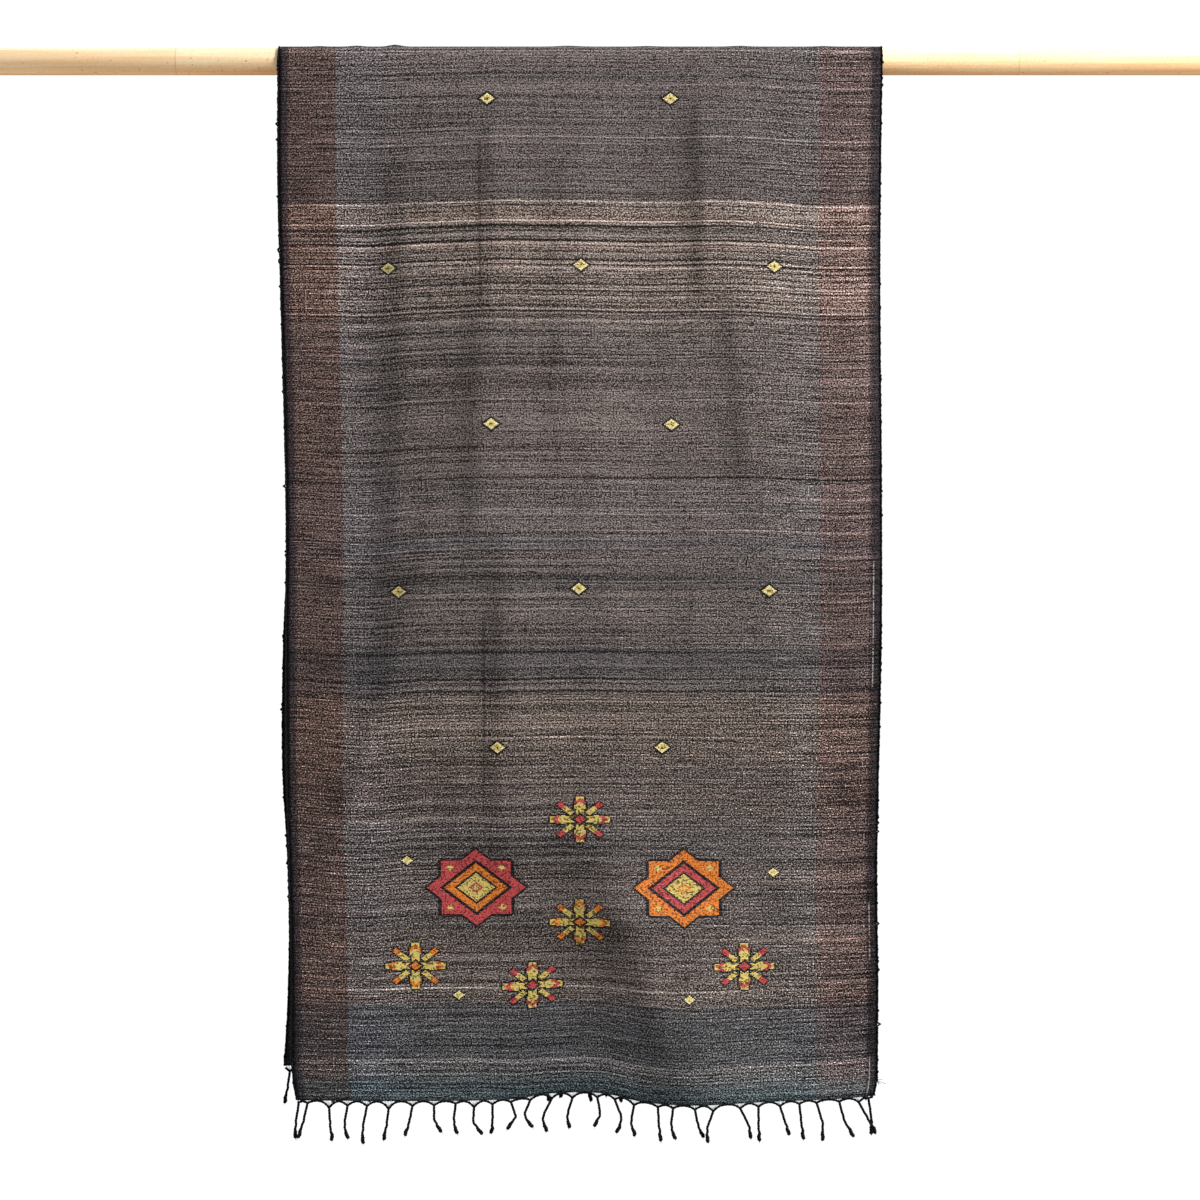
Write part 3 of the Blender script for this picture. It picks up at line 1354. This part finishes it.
def build_rod():
    """A round rod: a profile with eased ends turned about the X axis."""
    half = ROD_LENGTH / 2
    profile = np.array([
        (-half, ROD_RADIUS - ROD_EASE),
        (-half + ROD_EASE_MIDDLE, ROD_RADIUS - ROD_EASE_MIDDLE),
        (-half + ROD_EASE, ROD_RADIUS),
        (0.0, ROD_RADIUS),
        (half - ROD_EASE, ROD_RADIUS),
        (half - ROD_EASE_MIDDLE, ROD_RADIUS - ROD_EASE_MIDDLE),
        (half, ROD_RADIUS - ROD_EASE),
    ])
    y, z, x = turned_profile(profile[:, 1], profile[:, 0], ROD_SIDES)
    points = np.stack([x, y, z], axis=1)
    quads = ring_quads(len(profile), ROD_SIDES)
    caps = np.stack([np.arange(ROD_SIDES)[::-1], len(quads) + np.arange(ROD_SIDES)])
    rod = make_mesh("rod_dowel", points, [quads, caps], [rod_wood])
    rod.data.polygons.foreach_set("use_smooth", np.arange(len(rod.data.polygons)) < len(quads))
    return rod


# ---------------------------------------------------------------- build the pieces

cloth = build_cloth()
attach(cloth, "root")
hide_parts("cloth")

selvages = build_selvages()
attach(selvages, "root")

front_motifs = build_motifs("front_motifs", FRONT, 0.0)
back_motifs = build_motifs("back_motifs", BACK, -38.0)
for motifs in (front_motifs, back_motifs):
    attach(motifs, "root")

front_fringe = build_fringe("front_fringe_cords", FRONT, np.array(FRONT_STRANDS, float), 11)
back_fringe = build_fringe("back_fringe_cords", BACK, back_strands(), 23)
for fringe, node in ((front_fringe, "front_fringe"), (back_fringe, "back_fringe")):
    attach(fringe, "root")
    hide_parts(node)

rod = build_rod()
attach(rod, "root")
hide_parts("rod")


# ---------------------------------------------------------------- stage, light, camera

FLOOR_Z = -1.9
FLAT_RADIUS = 4.0
STAGE_RADIUS = 14.0
STAGE_BEND = 4.0
STAGE_SIDES = 96
WALL_HEIGHTS = (8.0, 16.0)


def build_stage():
    """A pale round floor that sweeps up into a wall all round: a quarter circle turned about Z."""
    bend = STAGE_BEND
    sweep = np.linspace(0, math.pi / 2, 12)
    curve = STAGE_RADIUS - bend + bend * np.sin(sweep)
    radius = np.concatenate([[0.02, FLAT_RADIUS], curve, [STAGE_RADIUS] * 2])
    height = np.concatenate([[0, 0], bend - bend * np.cos(sweep), WALL_HEIGHTS]) + FLOOR_Z
    quads = turned_over(ring_quads(len(radius), STAGE_SIDES))
    points = np.stack(turned_profile(radius, height, STAGE_SIDES), axis=1) / MM
    return make_mesh("stage", points, [quads], [stage_white()])


def stage_white():
    """A plain white that glows as brightly as paper in full light."""
    white = Shader("stage_white")
    white.surface.inputs["Emission Strength"].default_value = 1.0
    white.surface.inputs["Emission Color"].default_value = (1.0, 1.0, 1.0, 1.0)
    return white.finish((0.03, 0.03, 0.03, 1.0), 0.9)


def soft_light(name, place, target, size, power):
    """A large square softbox that faces its target."""
    lamp = bpy.data.lights.new(name, "AREA")
    lamp.size = size
    lamp.energy = power
    holder = bpy.data.objects.new(name, lamp)
    bpy.context.scene.collection.objects.link(holder)
    holder.location = place
    holder.rotation_euler = (Vector(target) - Vector(place)).to_track_quat("-Z", "Y").to_euler()


stage = build_stage()
stage.visible_diffuse = False
stage.visible_glossy = False
stage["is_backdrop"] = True

scene = bpy.context.scene
scene.world = bpy.data.worlds.new("soft_room")
scene.world.use_nodes = True
room = scene.world.node_tree.nodes["Background"]
room.inputs["Color"].default_value = (0.97, 0.98, 1.0, 1.0)
room.inputs["Strength"].default_value = 0.24
scene.view_settings.view_transform = "Standard"

# Lamps: name, place, target, size, power
MIDDLE = (0.0, 0.0, -0.48)
LAMPS = [
    ("key", (4.65, -2.05, 2.7), MIDDLE, 1.8, 840.0),
    ("fill", (-2.4, -2.6, 0.6), MIDDLE, 2.0, 6.0),
    ("top", (0.0, -0.7, 2.2), (0.0, 0.0, 0.0), 2.4, 16.0),
    ("low_left", (-2.4, -0.4, -1.7), (-0.42, 0.0, 0.0), 1.0, 50.0),
    ("low_right", (2.4, -0.4, -1.7), (0.42, 0.0, 0.0), 1.0, 50.0),
    ("back", (-4.2, 4.0, 2.4), MIDDLE, 1.8, 560.0),
]
for lamp in LAMPS:
    soft_light(*lamp)

# The picture is square. One picture width covers this much at the front of the cloth.
PICTURE_WIDTH = 1111.0
PICTURE_MIDDLE = (18.5, -500.5)
CAMERA_DISTANCE = 3200.0
lens = bpy.data.cameras.new("camera")
lens.sensor_fit = "HORIZONTAL"
lens.sensor_width = 36.0
lens.lens = lens.sensor_width * CAMERA_DISTANCE / PICTURE_WIDTH
lens.clip_end = 100.0
camera = bpy.data.objects.new("camera", lens)
scene.collection.objects.link(camera)
camera.location = (
    PICTURE_MIDDLE[0] * MM,
    -(CROWN_RADIUS + CAMERA_DISTANCE) * MM,
    PICTURE_MIDDLE[1] * MM,
)
camera.rotation_euler = (math.pi / 2, 0.0, 0.0)
scene.camera = camera


def plain(box):
    """A box's corners as plain numbers."""
    return [[float(value) for value in corner] for corner in box]


{"cad": plain(cad_box), "visual": plain(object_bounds())}
